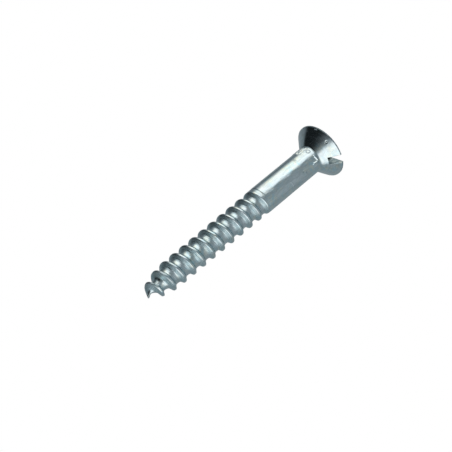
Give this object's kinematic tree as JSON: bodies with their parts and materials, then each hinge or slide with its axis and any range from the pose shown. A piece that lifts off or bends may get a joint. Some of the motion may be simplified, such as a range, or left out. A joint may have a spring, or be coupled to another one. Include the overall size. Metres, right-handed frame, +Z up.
{
  "type": "wood screw",
  "caption": "Slotted countersunk wood screw with a plain shank, a right-hand cut thread and a gimlet point, bright zinc plated.",
  "frame": {"origin": "centre of the flat top of the head, where the driver slot crosses the axis", "axes": "+X along the screw's axis out of the head, with the point towards -X; +Y along the driver slot; +Z up, across the slot"},
  "size_m": [0.0498, 0.0118, 0.012],
  "materials": {
    "zinc_plate": "bright bluish zinc plating on steel"
  },
  "bodies": {
    "root": {"head": "zinc_plate", "shank": "zinc_plate", "thread": "zinc_plate", "point": "zinc_plate"}
  },
  "joints": []
}
